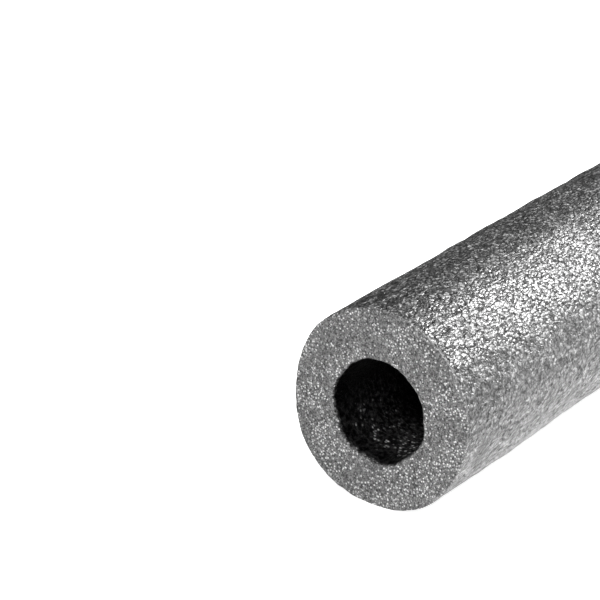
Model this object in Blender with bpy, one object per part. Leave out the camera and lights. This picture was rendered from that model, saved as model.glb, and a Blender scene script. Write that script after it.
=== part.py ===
"""One length of closed-cell foam pipe insulation, lying on its side.

The tube runs along X with the middle of its length at the origin, and it rests on the plane Z = 0.
All sizes are in metres.
"""

import math

import bmesh
import bpy

# Driving dimensions
LENGTH = 1.0
BORE_DIAMETER = 0.028
WALL = 0.013
OUTER_DIAMETER = BORE_DIAMETER + 2 * WALL

# The soft extrusion is slightly squarish: flat below, above and at both sides, fuller between them.
SKIN_LOBE = 0.00025
# The bore is fullest below, above and at both sides.
BORE_LOBE = 0.00020
LOBES = 4

# Rounding of the cut edge where each end meets the outer skin
EDGE_ROUNDING = 0.0006
EDGE_SEGMENTS = 2

# Facets round the section
SIDES = 48
# Edges that turn by more than this many degrees stay sharp
SHARP_ANGLE = 30

# Grey polyethylene foam with a satin skin
FOAM_COLOUR = (0.20, 0.20, 0.20, 1.0)
FOAM_ROUGHNESS = 0.45


def clear_scene():
    for thing in list(bpy.data.objects):
        bpy.data.objects.remove(thing, do_unlink=True)


def foam_material():
    material = bpy.data.materials.new("grey_foam")
    material.use_nodes = True
    shader = material.node_tree.nodes["Principled BSDF"]
    shader.inputs["Base Color"].default_value = FOAM_COLOUR
    shader.inputs["Roughness"].default_value = FOAM_ROUGHNESS
    shader.inputs["Metallic"].default_value = 0.0
    return material


def section_angles():
    """Angles of the section's corners. Half a step of offset puts one whole facet at the very bottom."""
    step = 2 * math.pi / SIDES
    return [(index + 0.5) * step for index in range(SIDES)]


def skin_radius(angle):
    return OUTER_DIAMETER / 2 - SKIN_LOBE * math.cos(LOBES * angle)


def bore_radius(angle):
    return BORE_DIAMETER / 2 + BORE_LOBE * math.cos(LOBES * angle)


def axis_height():
    """Height of the tube's axis that puts its lowest facet on Z = 0."""
    return -min(skin_radius(angle) * math.sin(angle) for angle in section_angles())


def add_ring(mesh, radius_at, x):
    """The corners of one section outline, at x along the tube."""
    height = axis_height()
    corners = []
    for angle in section_angles():
        radius = radius_at(angle)
        place = (x, radius * math.cos(angle), height + radius * math.sin(angle))
        corners.append(mesh.verts.new(place))
    return corners


def pairs_round(corners):
    return zip(corners, corners[1:] + corners[:1])


def join_rings(mesh, first, second):
    """One face for each side of the section, between two outlines."""
    for (a, b), (c, d) in zip(pairs_round(first), pairs_round(second)):
        mesh.faces.new((a, b, d, c))


def round_the_rim(mesh, rim):
    edges = [mesh.edges.get(pair) for pair in pairs_round(rim)]
    bmesh.ops.bevel(
        mesh,
        geom=edges,
        offset=EDGE_ROUNDING,
        offset_type="OFFSET",
        segments=EDGE_SEGMENTS,
        profile=0.5,
        affect="EDGES",
    )


def insulation_tube():
    """A straight thick-walled tube with square-cut ends and an open bore right through."""
    mesh = bmesh.new()
    near_skin = add_ring(mesh, skin_radius, -LENGTH / 2)
    far_skin = add_ring(mesh, skin_radius, LENGTH / 2)
    far_bore = add_ring(mesh, bore_radius, LENGTH / 2)
    near_bore = add_ring(mesh, bore_radius, -LENGTH / 2)
    join_rings(mesh, near_skin, far_skin)
    join_rings(mesh, far_skin, far_bore)
    join_rings(mesh, far_bore, near_bore)
    join_rings(mesh, near_bore, near_skin)
    round_the_rim(mesh, near_skin)
    round_the_rim(mesh, far_skin)
    bmesh.ops.recalc_face_normals(mesh, faces=mesh.faces)

    data = bpy.data.meshes.new("insulation_tube")
    mesh.to_mesh(data)
    mesh.free()
    data.materials.append(foam_material())
    data.shade_smooth()
    data.set_sharp_from_angle(angle=math.radians(SHARP_ANGLE))
    tube = bpy.data.objects.new("insulation_tube", data)
    bpy.context.scene.collection.objects.link(tube)
    return tube


clear_scene()
insulation_tube()
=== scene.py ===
"""Looks of one length of grey foam pipe insulation, lying on a pale floor.

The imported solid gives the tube's place, length and height. The tube is modelled again here as one closed
foam skin with its cut ends and bore, and gets its materials, light and camera. Sizes are in metres.
"""

import math

import bpy
import numpy as np
from mathutils import Matrix, Vector


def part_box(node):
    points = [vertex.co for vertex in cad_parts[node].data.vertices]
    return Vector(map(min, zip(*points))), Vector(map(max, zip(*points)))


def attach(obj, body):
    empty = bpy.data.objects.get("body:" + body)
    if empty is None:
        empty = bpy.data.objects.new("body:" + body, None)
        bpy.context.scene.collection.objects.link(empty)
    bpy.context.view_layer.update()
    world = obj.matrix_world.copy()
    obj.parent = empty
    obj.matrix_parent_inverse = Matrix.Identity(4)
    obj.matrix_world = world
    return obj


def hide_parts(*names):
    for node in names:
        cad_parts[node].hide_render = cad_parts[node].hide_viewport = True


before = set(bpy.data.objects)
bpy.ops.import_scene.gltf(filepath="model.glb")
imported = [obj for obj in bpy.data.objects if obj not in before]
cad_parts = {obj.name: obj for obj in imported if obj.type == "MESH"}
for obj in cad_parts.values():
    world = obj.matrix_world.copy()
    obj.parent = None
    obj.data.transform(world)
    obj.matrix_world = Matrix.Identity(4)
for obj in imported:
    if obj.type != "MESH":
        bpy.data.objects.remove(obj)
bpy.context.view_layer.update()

MM = 0.001
NODE = "insulation_tube"
LOW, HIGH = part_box(NODE)
NEAR_X = LOW.x
FAR_X = HIGH.x
LENGTH = FAR_X - NEAR_X
# The foam rests on a slightly flattened underside.
AXIS_Z = LOW.z + 27.05 * MM
FLOOR_GAP = 0.02 * MM

# The tube's section
SKIN_RADIUS = 27 * MM
BORE_RADIUS = 14.1 * MM
WALL = SKIN_RADIUS - BORE_RADIUS
BORE_SHIFT = (0.3 * MM, -0.74 * MM)
EDGE_ROUNDING = 0.3 * MM
BORE_EDGE_ROUNDING = 0.3 * MM

# Out-of-round shape: how many times round, how high, and the angle of one crest in degrees
SKIN_SHAPE = ((2, 0.12 * MM, -48), (3, 0.09 * MM, -46), (4, 0.14 * MM, -33), (5, 0.15 * MM, 35))
BORE_SHAPE = ((2, 0.08 * MM, -34), (4, 0.10 * MM, 0), (6, 0.18 * MM, 14), (7, 0.16 * MM, 0))

# Swellings near the near cut: how high, the angle of the crest, half their width in degrees, and the
# distances from the cut between which they fade
SWELLINGS = (
    (0.85 * MM, -55, 38, 0 * MM, 60 * MM),
    (0.35 * MM, -128, 24, 35 * MM, 62 * MM),
)

# The cuts are slightly off square: how far each cut plane leans along X for each metre of Y and Z
NEAR_CUT_LEAN = (0.025, 0.037)
FAR_CUT_LEAN = (-0.012, 0.020)
LEAN_REACH = 30 * MM

# How far in from a cut the long waves and the ragged edge reach
SETTLING = 40 * MM
RAGGED_REACH = 1.5 * MM
RAGGED_SKIN = 0.04 * MM
RAGGED_BORE = 0.08 * MM

# Corners round the section where the surface is fine, and where it is plain
FINE_SIDES = 240
PLAIN_SIDES = 120
# Rings along the skin: how far from a cut each zone ends, and how far apart its rings are
SKIN_EDGE_ZONE, SKIN_EDGE_STEP = 5 * MM, 0.5 * MM
SKIN_NEAR_ZONE, SKIN_NEAR_STEP = 190 * MM, 1.1 * MM
SKIN_PLAIN_STEP = 10 * MM
SKIN_FAR_ZONE, SKIN_FAR_STEP = 20 * MM, 1.0 * MM
# Rings along the bore, in the same way
BORE_NEAR_ZONE, BORE_NEAR_STEP = 70 * MM, 1.0 * MM
BORE_PLAIN_STEP = 20 * MM
BORE_FAR_ZONE, BORE_FAR_STEP = 20 * MM, 2.0 * MM
# Rings across a cut end
CUT_STEP = 0.65 * MM

# Skin pebbles: their size and height, and how far they are pushed about and drawn out along X
PEBBLE = 0.84 * MM
PEBBLE_HEIGHT = 0.26 * MM
PEBBLE_WARP = {"size": 1.5 * MM, "reach": 1.2 * MM, "stretch": 1.6}
# How light a pebble is, and the painted shade in the gaps between pebbles
CELL_TONE, GAP_SHADE_TONE = 0.28, 0.03
# Where a pebble darkens into the painted shade between pebbles, as shares of its size, on the tube's upper
# and lower side
UPPER_GAP_SHADE = (0.25, 0.55)
LOWER_GAP_SHADE = (0.42, 0.72)
# Painted light: the upper side is painted lighter and the lower side darker. The lower side turns into the
# upper side between these heights over the tube's axis.
UPPER_LIGHT_FROM, UPPER_LIGHT_TO = 3 * MM, 16 * MM
# The lower side is painted darker and has few painted glints: what it keeps of the upper side's lightness
# and glints
LOWER_SHADED_SHARE = 0.53
LOWER_GLINT_SHARE = 0.1

# Finer marks on the skin: their sizes, heights and depths
SKIN_GRAIN, SKIN_GRAIN_HEIGHT = 0.45 * MM, 0.08 * MM
SKIN_HOLLOW, SKIN_PIT_DEPTH = 1.1 * MM, 0.12 * MM
SKIN_CREASE, SKIN_CREASE_DEPTH = 3.0 * MM, 0.3 * MM
SKIN_BLOTCH = 2.6 * MM
SKIN_CLOUD = 9 * MM
# Painted glints: bright dots in the skin's colour
SKIN_PAINTED_GLINTS = {"size": 0.6 * MM, "share": 0.4, "core": 0.1, "rim": 0.45}
# Where in their noise the pits, the painted shade round the pits, and the creases start and are full
SKIN_PIT_RISE = (0.57, 0.67)
SKIN_PIT_SHADE_RISE = (0.46, 0.60)
SKIN_CREASE_RISE = (0.50, 0.60)
# The creases fade between these distances from a cut.
SKIN_CREASE_REACH = (12 * MM, 26 * MM)
# How much each mark lightens or darkens the skin: blotches and grain vary its own tone, bright dots are
# painted glints, and the darkening round pits and in creases is painted shade
SKIN_BLOTCH_TONE = (0.4, 1.7)
SKIN_GRAIN_TONE = (0.2, 1.8)
SKIN_GLINT_TONE = 0.28
SKIN_PIT_SHADE = 0.9
SKIN_CREASE_SHADE = 0.7
# The skin's gloss
SKIN_ROUGHNESS = (0.30, 0.42)
SKIN_PIT_ROUGHNESS = 0.4
SKIN_SPECULAR = 0.75

# Cut ends: the sizes of their cell walls, grain and patches, and how light each is. The cell walls' tone
# runs from painted shade in the open cells between them up to the walls' own grey.
CUT_CELL, CUT_CELL_TONE_AND_SHADE = 0.42 * MM, (0.0, 0.275)
CUT_GRAIN, CUT_GRAIN_TONE = 1.0 * MM, (0.45, 1.45)
CUT_PATCH, CUT_PATCH_TONE = 5 * MM, (0.8, 1.2)
# Painted shade in a few open pits, and painted glints as bright flecks
CUT_PITS = {"size": 1.1 * MM, "share": 0.25, "core": 0.05, "rim": 0.35}
CUT_PAINTED_GLINTS = {"size": 0.72 * MM, "share": 0.6, "core": 0.15, "rim": 0.45}
CUT_PIT_SHADE = 0.8
CUT_GLINT_TONE = 0.8
# Their relief and gloss
CUT_DEPTH = 0.2 * MM
CUT_ROUGHNESS = 0.6
CUT_SPECULAR = 0.4
# Finishes meet in tatters: their size, and how far they reach
TATTER, TATTER_REACH = 1.3 * MM, 0.7 * MM
# The finishes of skin and bore take over from the cut's between these distances from the cut plane.
SKIN_MEETS_CUT = (0.5 * MM, 1.0 * MM)
BORE_MEETS_CUT = (-0.3 * MM, 1.1 * MM)

# Bore lumps: their size and height, where in their noise they rise, and how light they are; their lighter
# tops are painted light
BORE_LUMP, BORE_LUMP_HEIGHT = 1.2 * MM, 0.9 * MM
BORE_LUMP_RISE = (0.44, 0.74)
BORE_LIT_LUMP_TONE = 0.045
# Painted light and shade: between two distances from a cut the lumps are painted lighter, from one factor
# to the other, and further in they end in painted shade.
BORE_PAINTED_LIGHT = (4 * MM, 18 * MM, 1.0, 3.0)
BORE_DEEP_SHADE = (22 * MM, 36 * MM)
# Painted shade on the bore's upper part: between two heights over the axis they darken, from one factor to
# the other.
BORE_UPPER_SHADE = (-9 * MM, 0, 1.0, 0.04)
# Bore sparks, which are painted glints: their pattern, the size of their clusters, and where in their
# noise the clusters rise
BORE_PAINTED_GLINTS = {"size": 0.95 * MM, "share": 0.45, "core": 0.15, "rim": 0.5}
GLINT_CLUSTER, GLINT_CLUSTER_RISE = 3.5 * MM, (0.42, 0.58)
# The distances from a cut between which they start and end, and the heights between which they fade
GLINTS_START = (4 * MM, 8 * MM)
GLINTS_END = (13 * MM, 27 * MM)
GLINTS_TOP = (-7.5 * MM, -5 * MM)
# The bore's gloss: two distances from a cut, and the roughness at each
BORE_ROUGHNESS = (3 * MM, 14 * MM, 0.35, 0.9)
BORE_SPECULAR = 0.2

# Softboxes: azimuth from +X towards +Y, elevation, distance, size and radiance
SOFTBOXES = {
    "key": (-20, 32, 5.0, (1.75, 1.5), 54),
    "top": (60, 80, 2.2, (2.5, 2.5), 1.2),
    "front": (168, 48, 2.2, (1.5, 1.5), 3.0),
}
# They aim at a point this far in from the near cut.
AIM = 0.1
ROOM_LIGHT = 0.12
BACKDROP_LIGHT = 1.0
FLOOR_HALF = 8.0
FLOOR_GREY, CARD_GREY = 0.9, 0.02
SHEET_ROUGHNESS, SHEET_SPECULAR = 0.9, 0.1
# How much the floor glows in the light it throws on the tube, and as the camera sees it
FLOOR_GLOW, FLOOR_GLOW_SEEN = 0.95, 0.88
# Dark card: its distance from the tube's axis, its height, and how far it reaches past both cuts
CARD_DISTANCE, CARD_HEIGHT, CARD_OVERHANG = 0.12, 0.35, 0.3
# A flag in the key light: how far it hangs from the tube, the place along the tube where it cuts off
# half of the light, and its size
FLAG_DISTANCE, FLAG_MIDDLE, FLAG_SIZE = 1.5, 0.25, 2.0

# Camera: its direction from the near cut in degrees, its lens in pixels of the square picture, the pixel
# that shows the middle of the near cut, and how far that point is along the view
CAMERA_AZIMUTH, CAMERA_ELEVATION = -54.16, 23.51
PICTURE = 600
LENS_PIXELS = 2819.0
SENSOR = 36.0
CUT_PIXEL = (379.03, 409.69)
CUT_DISTANCE = 0.7177
CLIP_START, CLIP_END = 0.01, 50


class Ripples:
    """Smooth random relief about one wavelength long and height high: a sum of plane waves."""

    WAVES = 60
    SPREAD = 0.35

    def __init__(self, wavelength, height, seed, along=1.0):
        """along stretches the relief along X."""
        random = np.random.default_rng(seed)
        way = random.normal(size=(self.WAVES, 3))
        way /= np.linalg.norm(way, axis=1, keepdims=True)
        length = wavelength * random.uniform(1 - self.SPREAD, 1 + self.SPREAD, (self.WAVES, 1))
        self.waves = 2 * math.pi * way / length / np.array([along, 1.0, 1.0])
        self.phase = random.uniform(0, 2 * math.pi, self.WAVES)
        self.height = height * math.sqrt(2 / self.WAVES)

    def __call__(self, points):
        total = np.zeros(len(points))
        for wave, phase in zip(self.waves, self.phase):
            total += np.cos(points @ wave + phase)
        return total * self.height


# Relief of the skin, the bore and the cuts
SKIN_WAVES = Ripples(70 * MM, 0.11 * MM, seed=1)
SKIN_RIPPLES = Ripples(16 * MM, 0.08 * MM, seed=2)
SKIN_LUMPS = Ripples(4.5 * MM, 0.045 * MM, seed=3, along=1.3)
BORE_RIPPLES = Ripples(16 * MM, 0.15 * MM, seed=2)
BORE_LUMPS = Ripples(5.0 * MM, 0.06 * MM, seed=7)
CUT_RIPPLES = Ripples(14 * MM, 0.10 * MM, seed=4)
CUT_LUMPS = Ripples(2.2 * MM, 0.04 * MM, seed=5)
RAGGED = Ripples(1.8 * MM, 1.0, seed=6)


def smooth_step(value, low, high):
    t = np.clip((value - low) / (high - low), 0, 1)
    return t * t * (3 - 2 * t)


def outline(base, shape, angles):
    """Radius of an out-of-round section at each angle."""
    radius = np.full(len(angles), base)
    for times, height, crest in shape:
        radius += height * np.cos(times * (angles - math.radians(crest)))
    return radius


def swelling(at, angles):
    """How much the swellings add to the skin's radius, at a distance from the near cut."""
    total = np.zeros(len(angles))
    for height, crest, width, start, end in SWELLINGS:
        turn = (np.degrees(angles) - crest + 180) % 360 - 180
        total += height * (1 - smooth_step(at, start, end)) * np.exp(-((turn / width) ** 2))
    return total


def spaced(start, end, step):
    """Places from start up to but not including end, about one step apart."""
    count = max(1, round((end - start) / step))
    return [start + (end - start) * index / count for index in range(count)]


def skin_stations():
    """Distances from the near cut, each with the number of corners round the section."""
    far_zone = LENGTH - SKIN_FAR_ZONE
    last = LENGTH - EDGE_ROUNDING
    near = spaced(EDGE_ROUNDING, SKIN_EDGE_ZONE, SKIN_EDGE_STEP)
    near += spaced(SKIN_EDGE_ZONE, SKIN_NEAR_ZONE, SKIN_NEAR_STEP)
    plain = spaced(SKIN_NEAR_ZONE, far_zone, SKIN_PLAIN_STEP)
    far = spaced(far_zone, last, SKIN_FAR_STEP) + [last]
    zones = ((near, FINE_SIDES), (plain, PLAIN_SIDES), (far, FINE_SIDES))
    return [(at, sides) for places, sides in zones for at in places]


def bore_stations():
    far_zone = LENGTH - BORE_FAR_ZONE
    last = LENGTH - BORE_EDGE_ROUNDING
    near = spaced(BORE_EDGE_ROUNDING, BORE_NEAR_ZONE, BORE_NEAR_STEP)
    plain = spaced(BORE_NEAR_ZONE, far_zone, BORE_PLAIN_STEP)
    return near + plain + spaced(far_zone, last, BORE_FAR_STEP) + [last]


def section_ring(at, share, sides):
    """Corners of one ring, at a distance from the near cut. share is 0 at the bore, 1 at the skin."""
    angles = np.arange(sides) * 2 * math.pi / sides
    skin = outline(SKIN_RADIUS, SKIN_SHAPE, angles) + swelling(at, angles)
    bore = outline(BORE_RADIUS, BORE_SHAPE, angles)
    x = np.full(sides, NEAR_X + at)
    across = np.stack([np.cos(angles), np.sin(angles)], axis=1)
    on_skin = np.column_stack([x, skin[:, None] * across])
    on_bore = np.column_stack([x, bore[:, None] * across])
    to_cut = min(at, LENGTH - at)
    settled = smooth_step(to_cut, 0, SETTLING)
    ragged = math.exp(-to_cut / RAGGED_REACH) * RAGGED(on_bore)
    skin = skin + settled * (SKIN_WAVES(on_skin) + SKIN_RIPPLES(on_skin))
    skin = skin + SKIN_LUMPS(on_skin) + RAGGED_SKIN * ragged
    bore = bore + settled * BORE_RIPPLES(on_bore)
    bore = bore + BORE_LUMPS(on_bore) + RAGGED_BORE * ragged
    radius = bore + (skin - bore) * share
    centre = np.array([0, AXIS_Z]) + (1 - share) * np.array(BORE_SHIFT)
    return np.column_stack([x, centre + radius[:, None] * across])


def lean_the_cuts(points):
    """Leans each end's cut plane, fading out over the first centimetres of the tube."""
    y, z = points[:, 1], points[:, 2] - AXIS_Z
    near = 1 - smooth_step(points[:, 0] - NEAR_X, 0, LEAN_REACH)
    far = 1 - smooth_step(FAR_X - points[:, 0], 0, LEAN_REACH)
    moved = points.copy()
    moved[:, 0] += near * (NEAR_CUT_LEAN[0] * y + NEAR_CUT_LEAN[1] * z)
    moved[:, 0] += far * (FAR_CUT_LEAN[0] * y + FAR_CUT_LEAN[1] * z)
    return moved


SKIN, CUT, BORE = range(3)


def profile():
    """The closed path round the tube's wall: (distance from the near cut, share, corners, finish)."""
    lip = BORE_EDGE_ROUNDING / WALL
    brim = 1 - EDGE_ROUNDING / WALL
    face = spaced(lip, brim, CUT_STEP / WALL) + [brim]
    turns = [math.pi / 8, math.pi / 4, 3 * math.pi / 8]
    rounding = []
    for turn in turns:
        inwards = EDGE_ROUNDING * (1 - math.cos(turn))
        rounding.append((inwards, brim + (1 - brim) * math.sin(turn)))
    path = [(0, share, FINE_SIDES, CUT) for share in face]
    path += [(inwards, share, FINE_SIDES, SKIN) for inwards, share in rounding]
    path += [(at, 1, sides, SKIN) for at, sides in skin_stations()]
    path += [(LENGTH - inwards, share, FINE_SIDES, SKIN) for inwards, share in reversed(rounding)]
    path += [(LENGTH, share, FINE_SIDES, CUT) for share in reversed(face)]
    path += [(at, 0, PLAIN_SIDES, BORE) for at in reversed(bore_stations())]
    return path


def strip(first, second):
    """Faces between two rings of corner numbers, of which one may have twice as many as the other."""
    if len(first) == len(second):
        return list(zip(first, np.roll(first, -1), np.roll(second, -1), second))
    turned = len(first) < len(second)
    fine, plain = (second, first) if turned else (first, second)
    faces = []
    for index in range(len(plain)):
        a, b, c = fine[2 * index], fine[2 * index + 1], fine[(2 * index + 2) % len(fine)]
        p, q = plain[index], plain[(index + 1) % len(plain)]
        for face in ((a, b, p), (b, q, p), (b, c, q)):
            faces.append(face[::-1] if turned else face)
    return faces


def finish_between(first, second):
    """The finish of the faces between two rings."""
    if first == second:
        return first
    return BORE if BORE in (first, second) else SKIN


def tube_mesh():
    path = profile()
    rings = []
    count = 0
    for _, _, sides, _ in path:
        rings.append(np.arange(count, count + sides))
        count += sides
    points = np.concatenate([section_ring(at, share, sides) for at, share, sides, _ in path])
    points = lean_the_cuts(points)
    on_cut = np.concatenate([np.full(sides, finish == CUT) for _, _, sides, finish in path])
    ring_finish = [finish for _, _, _, finish in path]
    outwards = np.where(points[:, 0] < (NEAR_X + FAR_X) / 2, -1, 1)
    relief = CUT_RIPPLES(points) + CUT_LUMPS(points)
    points[:, 0] += np.where(on_cut, relief * outwards, 0)
    points[:, 2] = np.maximum(points[:, 2], FLOOR_GAP)

    faces, finishes = [], []
    for index, ring in enumerate(rings):
        following = (index + 1) % len(rings)
        made = strip(ring, rings[following])
        faces += made
        finishes += [finish_between(ring_finish[index], ring_finish[following])] * len(made)
    mesh = bpy.data.meshes.new("foam_tube")
    mesh.from_pydata(points.tolist(), [], [tuple(int(v) for v in face) for face in faces])
    mesh.polygons.foreach_set("material_index", finishes)
    mesh.shade_smooth()
    mesh.update()
    return mesh


class Shader:
    """A few short calls for building a material's nodes."""

    # Most of a soft noise lies between the first two values, and nearly all of it between the others.
    MOST = (0.35, 0.65)
    NEARLY_ALL = (0.3, 0.7)
    # How much of the finer detail shows in rough noise
    ROUGH = 0.6
    LOWEST_DOT = 0.4

    def __init__(self, name):
        self.material = bpy.data.materials.new(name)
        self.material.use_nodes = True
        self.tree = self.material.node_tree
        self.surface = self.tree.nodes["Principled BSDF"]
        self.place = self.add("ShaderNodeTexCoord").outputs["Object"]

    def add(self, kind, **settings):
        node = self.tree.nodes.new(kind)
        for key, value in settings.items():
            setattr(node, key, value)
        return node

    def plug(self, socket, value):
        if isinstance(value, bpy.types.NodeSocket):
            self.tree.links.new(value, socket)
        else:
            socket.default_value = value

    def math(self, operation, *values):
        node = self.add("ShaderNodeMath", operation=operation)
        for socket, value in zip(node.inputs, values):
            self.plug(socket, value)
        return node.outputs[0]

    def vector_math(self, operation, *values):
        node = self.add("ShaderNodeVectorMath", operation=operation)
        for socket, value in zip(node.inputs, values):
            self.plug(socket, value)
        return node.outputs[0]

    def product(self, first, *others):
        for other in others:
            first = self.math("MULTIPLY", first, other)
        return first

    def lessened(self, value, share, amount):
        """The value, less the given part of it where share is 1."""
        return self.math("MULTIPLY", value, self.math("MULTIPLY_ADD", share, -amount, 1.0))

    def remap(self, value, low, high, new_low=0.0, new_high=1.0):
        node = self.add("ShaderNodeMapRange", clamp=True)
        for socket, given in zip(node.inputs, (value, low, high, new_low, new_high)):
            self.plug(socket, given)
        return node.outputs[0]

    def fade(self, value, start, end):
        """1 up to start, 0 from end on."""
        return self.remap(value, start, end, 1.0, 0.0)

    def spread(self, noise, new_low, new_high, within=MOST):
        """Soft noise drawn out from the new low to the new high value."""
        return self.remap(noise, *within, new_low, new_high)

    def mix(self, first, second, share):
        """The first value where share is 0, the second where it is 1."""
        node = self.add("ShaderNodeMix")
        for name, given in (("Factor", share), ("A", first), ("B", second)):
            self.plug(node.inputs[name], given)
        return node.outputs["Result"]

    def noise_node(self, size, detail, roughness, place):
        """Soft noise whose lumps are about size metres across."""
        node = self.add("ShaderNodeTexNoise")
        self.plug(node.inputs["Vector"], place or self.place)
        self.plug(node.inputs["Scale"], 1 / size)
        self.plug(node.inputs["Detail"], detail)
        self.plug(node.inputs["Roughness"], roughness)
        return node

    def noise(self, size, detail=2.0, roughness=0.5, place=None):
        return self.noise_node(size, detail, roughness, place).outputs["Fac"]

    def cells(self, size, place=None):
        """Packed cells about size metres across: the distance from a cell's middle, and its colour."""
        node = self.add("ShaderNodeTexVoronoi", feature="F1")
        self.plug(node.inputs["Vector"], place or self.place)
        self.plug(node.inputs["Scale"], 1 / size)
        return node.outputs

    def dots(self, size, share, core, rim):
        """A share of cells has a dot, of random height, that falls to 0 from its core to its rim."""
        cell = self.cells(size)
        draw = self.add("ShaderNodeSeparateColor")
        self.plug(draw.inputs[0], cell["Color"])
        chosen = self.math("LESS_THAN", draw.outputs[0], share)
        height = self.remap(draw.outputs[1], 0.0, 1.0, self.LOWEST_DOT, 1.0)
        return self.product(chosen, height, self.fade(cell["Distance"], core, rim))

    def warped(self, size, reach, stretch):
        """Object coordinates, pushed about by soft noise, in which a pattern is stretched along X."""
        noise = self.noise_node(size, detail=1.0, roughness=0.5, place=self.place).outputs["Color"]
        middle = self.vector_math("SUBTRACT", noise, (0.5, 0.5, 0.5))
        pushed = self.vector_math("MULTIPLY_ADD", middle, (reach, reach, reach), self.place)
        return self.vector_math("MULTIPLY", pushed, (1 / stretch, 1.0, 1.0))

    def split_place(self):
        node = self.add("ShaderNodeSeparateXYZ")
        self.plug(node.inputs[0], self.place)
        return node.outputs

    def above_axis(self):
        return self.math("SUBTRACT", self.split_place()["Z"], AXIS_Z)

    def grey(self, value):
        node = self.add("ShaderNodeCombineColor")
        for socket in node.inputs:
            self.plug(socket, value)
        return node.outputs[0]

    def bump(self, height, depth=1.0):
        node = self.add("ShaderNodeBump")
        self.plug(node.inputs["Height"], height)
        self.plug(node.inputs["Distance"], depth)
        return node.outputs[0]

    def finish(self, **values):
        for key, value in values.items():
            self.plug(self.surface.inputs[key.replace("_", " ")], value)
        return self.material


def from_the_cuts(s):
    """Distance inwards from the nearer cut plane, roughened so that finishes meet unevenly."""
    x, y, z = s.split_place()
    height = s.math("SUBTRACT", z, AXIS_Z)
    near = s.math("SUBTRACT", x, NEAR_X)
    near = s.math("MULTIPLY_ADD", y, -NEAR_CUT_LEAN[0], near)
    near = s.math("MULTIPLY_ADD", height, -NEAR_CUT_LEAN[1], near)
    far = s.math("SUBTRACT", FAR_X, x)
    far = s.math("MULTIPLY_ADD", y, FAR_CUT_LEAN[0], far)
    far = s.math("MULTIPLY_ADD", height, FAR_CUT_LEAN[1], far)
    tatters = s.spread(s.noise(TATTER), -TATTER_REACH, TATTER_REACH, s.NEARLY_ALL)
    return s.math("ADD", s.math("MINIMUM", near, far), tatters)


def cut_walls(s):
    """The walls of the open cells on a cut end."""
    return s.noise(CUT_CELL, roughness=s.ROUGH)


def cut_tone(s, walls):
    """Lightness of open foam cells: soft grey, with painted shade between the cell walls and in a few dark
    pits, and painted glints as bright flecks.
    """
    patches = s.noise(CUT_PATCH)
    grain = s.noise(CUT_GRAIN, detail=1.0)
    pits = s.dots(**CUT_PITS)
    painted_glints = s.dots(**CUT_PAINTED_GLINTS)
    # The walls' own grey, with painted shade in the open cells between them
    tone = s.product(
        s.spread(walls, *CUT_CELL_TONE_AND_SHADE, s.NEARLY_ALL),
        s.spread(grain, *CUT_GRAIN_TONE, s.NEARLY_ALL),
        s.spread(patches, *CUT_PATCH_TONE, s.NEARLY_ALL),
    )
    # Painted shade in the pits
    tone = s.lessened(tone, pits, CUT_PIT_SHADE)
    # Painted glints as bright flecks
    return s.math("MULTIPLY_ADD", painted_glints, CUT_GLINT_TONE, tone)


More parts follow.
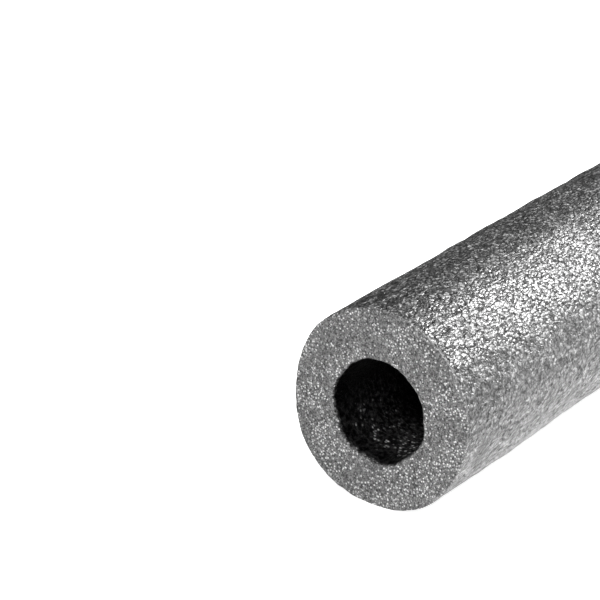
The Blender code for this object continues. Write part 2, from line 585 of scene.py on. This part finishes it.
def skin_material():
    """Satin extruded skin, pebbled by the foam cells under it, which meets the cut's finish at a cut."""
    s = Shader("foam_skin")
    drawn = s.warped(**PEBBLE_WARP)
    cells = s.cells(PEBBLE, drawn)["Distance"]
    pebbles = s.math("SUBTRACT", 1.0, s.math("POWER", cells, 2.0))
    grain = s.noise(SKIN_GRAIN, detail=1.0)
    blotches = s.noise(SKIN_BLOTCH, detail=3.0, roughness=s.ROUGH, place=drawn)
    clouds = s.noise(SKIN_CLOUD)
    # Painted light: 0 on the darker lower side, 1 on the lighter upper side
    lit_upper = s.remap(s.above_axis(), UPPER_LIGHT_FROM, UPPER_LIGHT_TO)
    # Painted glints, fewer on the lower side
    painted_glints = s.dots(**SKIN_PAINTED_GLINTS)
    painted_glints = s.product(painted_glints, s.mix(LOWER_GLINT_SHARE, 1.0, lit_upper))
    hollows = s.noise(SKIN_HOLLOW, roughness=s.ROUGH, place=drawn)
    pits = s.remap(hollows, *SKIN_PIT_RISE)
    # Painted shade round the pits
    pit_shade = s.remap(hollows, *SKIN_PIT_SHADE_RISE)
    walls = cut_walls(s)
    depth = from_the_cuts(s)
    on_cut = s.fade(depth, *SKIN_MEETS_CUT)
    creases = s.remap(s.noise(SKIN_CREASE, place=drawn), *SKIN_CREASE_RISE)
    creases = s.product(creases, s.fade(depth, *SKIN_CREASE_REACH))

    height = s.math("MULTIPLY_ADD", grain, SKIN_GRAIN_HEIGHT, s.product(pebbles, PEBBLE_HEIGHT))
    height = s.math("MULTIPLY_ADD", pits, -SKIN_PIT_DEPTH, height)
    height = s.math("MULTIPLY_ADD", creases, -SKIN_CREASE_DEPTH, height)
    # Painted shade in the gaps between pebbles
    gap_shade = [s.mix(lower_end, upper_end, lit_upper) for lower_end, upper_end in zip(LOWER_GAP_SHADE, UPPER_GAP_SHADE)]
    tone = s.remap(cells, *gap_shade, CELL_TONE, GAP_SHADE_TONE)
    # Painted shade on the lower side
    tone = s.product(tone, s.mix(LOWER_SHADED_SHARE, 1.0, lit_upper))
    tone = s.product(tone, s.spread(blotches, *SKIN_BLOTCH_TONE), s.spread(grain, *SKIN_GRAIN_TONE))
    # Painted glints lighten the skin
    tone = s.math("MULTIPLY_ADD", painted_glints, SKIN_GLINT_TONE, tone)
    # Painted shade round the pits
    tone = s.lessened(tone, pit_shade, SKIN_PIT_SHADE)
    # Painted shade in the creases
    tone = s.lessened(tone, creases, SKIN_CREASE_SHADE)
    roughness = s.math("MULTIPLY_ADD", pits, SKIN_PIT_ROUGHNESS, s.spread(clouds, *SKIN_ROUGHNESS))
    return s.finish(
        Base_Color=s.grey(s.mix(tone, cut_tone(s, walls), on_cut)),
        Roughness=s.mix(roughness, CUT_ROUGHNESS, on_cut),
        Specular_IOR_Level=SKIN_SPECULAR,
        Normal=s.bump(s.mix(height, s.product(walls, CUT_DEPTH), on_cut)),
    )


def cut_material():
    """The sawn end: open cells, matte, lighter than the skin, and finely speckled with painted glints and
    painted shade.
    """
    s = Shader("foam_cut")
    walls = cut_walls(s)
    return s.finish(
        Base_Color=s.grey(cut_tone(s, walls)),
        Roughness=CUT_ROUGHNESS,
        Specular_IOR_Level=CUT_SPECULAR,
        Normal=s.bump(walls, CUT_DEPTH),
    )


def bore_material():
    """The bore's skin: nearly black, with painted shade deep in and on its upper part, dim lumps with
    painted light, and a few painted glints low down near a cut.
    """
    s = Shader("foam_bore")
    lumps = s.noise(BORE_LUMP, roughness=s.ROUGH)
    depth = from_the_cuts(s)
    height = s.above_axis()
    # Painted light on the lumps near the mouth, and painted shade deeper in and on the upper part
    tone = s.product(
        s.remap(lumps, *BORE_LUMP_RISE, 0.0, BORE_LIT_LUMP_TONE),
        s.remap(depth, *BORE_PAINTED_LIGHT),
        s.fade(depth, *BORE_DEEP_SHADE),
        s.remap(height, *BORE_UPPER_SHADE),
    )
    # Painted glints low down near a cut
    painted_bore_glints = s.product(
        s.dots(**BORE_PAINTED_GLINTS),
        s.remap(s.noise(GLINT_CLUSTER, detail=1.0), *GLINT_CLUSTER_RISE),
        s.remap(depth, *GLINTS_START),
        s.fade(depth, *GLINTS_END),
        s.fade(height, *GLINTS_TOP),
    )
    on_cut = s.fade(depth, *BORE_MEETS_CUT)
    tone = s.mix(s.math("ADD", tone, painted_bore_glints), cut_tone(s, cut_walls(s)), on_cut)
    return s.finish(
        Base_Color=s.grey(tone),
        Roughness=s.remap(depth, *BORE_ROUGHNESS),
        Specular_IOR_Level=BORE_SPECULAR,
        Normal=s.bump(lumps, BORE_LUMP_HEIGHT),
    )


def make_tube():
    mesh = tube_mesh()
    for material in (skin_material(), cut_material(), bore_material()):
        mesh.materials.append(material)
    tube = bpy.data.objects.new("foam_tube", mesh)
    bpy.context.scene.collection.objects.link(tube)
    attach(tube, "root")
    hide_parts(NODE)


def plain_sheet(name, corners, grey):
    """One flat matte sheet of the studio, which isn't part of the tube."""
    mesh = bpy.data.meshes.new(name)
    mesh.from_pydata(corners, [], [(0, 1, 2, 3)])
    material = bpy.data.materials.new(name)
    material.use_nodes = True
    surface = material.node_tree.nodes["Principled BSDF"]
    surface.inputs["Base Color"].default_value = (grey, grey, grey, 1)
    surface.inputs["Roughness"].default_value = SHEET_ROUGHNESS
    surface.inputs["Specular IOR Level"].default_value = SHEET_SPECULAR
    mesh.materials.append(material)
    sheet = bpy.data.objects.new(name, mesh)
    bpy.context.scene.collection.objects.link(sheet)
    return sheet


def make_floor():
    half = FLOOR_HALF
    corners = [(-half, -half, 0), (half, -half, 0), (half, half, 0), (-half, half, 0)]
    floor = plain_sheet("floor", corners, FLOOR_GREY)
    tree = floor.active_material.node_tree
    surface = tree.nodes["Principled BSDF"]
    surface.inputs["Emission Color"].default_value = (1, 1, 1, 1)
    path = tree.nodes.new("ShaderNodeLightPath")
    strength = tree.nodes.new("ShaderNodeMix")
    strength.inputs["A"].default_value = FLOOR_GLOW
    strength.inputs["B"].default_value = FLOOR_GLOW_SEEN
    tree.links.new(path.outputs["Is Camera Ray"], strength.inputs["Factor"])
    tree.links.new(strength.outputs["Result"], surface.inputs["Emission Strength"])


def make_dark_card():
    """A black card stands along the tube's far side, and only its reflection is seen."""
    y, top = CARD_DISTANCE, CARD_HEIGHT
    start, end = NEAR_X - CARD_OVERHANG, FAR_X + CARD_OVERHANG
    corners = [(start, y, 0), (end, y, 0), (end, y, top), (start, y, top)]
    card = plain_sheet("dark_card", corners, CARD_GREY)
    card.visible_camera = False
    card.visible_shadow = False


def direction(azimuth, elevation):
    """A unit vector: azimuth from +X towards +Y, elevation above the floor, in degrees."""
    a, e = math.radians(azimuth), math.radians(elevation)
    return np.array([math.cos(a) * math.cos(e), math.sin(a) * math.cos(e), math.sin(e)])


def lamp_place(azimuth, elevation, distance):
    """Where a lamp stands that looks at the near end."""
    return np.array([NEAR_X + AIM, 0, AXIS_Z]) + direction(azimuth, elevation) * distance


def make_flag():
    """A black flag keeps part of the key light off the tube's far part. Only its soft shade is seen."""
    shaded = np.array([FLAG_MIDDLE, 0, AXIS_Z])
    to_lamp = lamp_place(*SOFTBOXES["key"][:3]) - shaded
    to_lamp /= np.linalg.norm(to_lamp)
    # Square to the light, towards the tube's far end
    outwards = np.array([1.0, 0, 0]) - to_lamp[0] * to_lamp
    outwards /= np.linalg.norm(outwards)
    sideways = np.cross(to_lamp, outwards)
    edge = shaded + to_lamp * FLAG_DISTANCE
    half = FLAG_SIZE / 2
    places = ((-half, 0), (half, 0), (half, FLAG_SIZE), (-half, FLAG_SIZE))
    corners = [tuple(edge + sideways * side + outwards * out) for side, out in places]
    flag = plain_sheet("flag", corners, CARD_GREY)
    flag.visible_camera = False


def softbox(name, azimuth, elevation, distance, size, radiance):
    light = bpy.data.lights.new(name, "AREA")
    light.shape = "RECTANGLE"
    light.size, light.size_y = size
    light.energy = radiance * math.pi * size[0] * size[1]
    lamp = bpy.data.objects.new(name, light)
    lamp.location = lamp_place(azimuth, elevation, distance)
    aim = Vector(-direction(azimuth, elevation))
    lamp.rotation_euler = aim.to_track_quat("-Z", "Y").to_euler()
    lamp.visible_camera = False
    bpy.context.scene.collection.objects.link(lamp)


def make_world():
    """A dim room for the tube, and a white backdrop for the camera."""
    world = bpy.data.worlds.new("studio")
    bpy.context.scene.world = world
    world.use_nodes = True
    nodes, links = world.node_tree.nodes, world.node_tree.links
    room = nodes["Background"]
    backdrop = nodes.new("ShaderNodeBackground")
    for background, strength in ((room, ROOM_LIGHT), (backdrop, BACKDROP_LIGHT)):
        background.inputs["Color"].default_value = (1, 1, 1, 1)
        background.inputs["Strength"].default_value = strength
    path = nodes.new("ShaderNodeLightPath")
    mix = nodes.new("ShaderNodeMixShader")
    links.new(path.outputs["Is Camera Ray"], mix.inputs["Fac"])
    links.new(room.outputs[0], mix.inputs[1])
    links.new(backdrop.outputs[0], mix.inputs[2])
    links.new(mix.outputs[0], nodes["World Output"].inputs["Surface"])


def make_camera():
    """The photograph's view: slantwise along the tube, from beyond its near end."""
    back = direction(CAMERA_AZIMUTH - 90, CAMERA_ELEVATION)
    right = np.cross(-back, [0, 0, 1])
    right /= np.linalg.norm(right)
    up = np.cross(right, -back)
    across = (CUT_PIXEL[0] - PICTURE / 2) / LENS_PIXELS
    above = (PICTURE / 2 - CUT_PIXEL[1]) / LENS_PIXELS
    to_cut = across * right + above * up - back
    data = bpy.data.cameras.new("camera")
    data.sensor_width = SENSOR
    data.lens = LENS_PIXELS * SENSOR / PICTURE
    data.clip_start, data.clip_end = CLIP_START, CLIP_END
    camera = bpy.data.objects.new("camera", data)
    axes = Matrix([right.tolist(), up.tolist(), back.tolist()]).transposed()
    camera.rotation_euler = axes.to_euler()
    camera.location = np.array([NEAR_X, 0, AXIS_Z]) - to_cut * CUT_DISTANCE
    bpy.context.scene.collection.objects.link(camera)
    bpy.context.scene.camera = camera


make_camera()
make_tube()
make_floor()
make_dark_card()
make_flag()
make_world()
for name, settings in SOFTBOXES.items():
    softbox(name, *settings)
bpy.context.scene.view_settings.view_transform = "Standard"
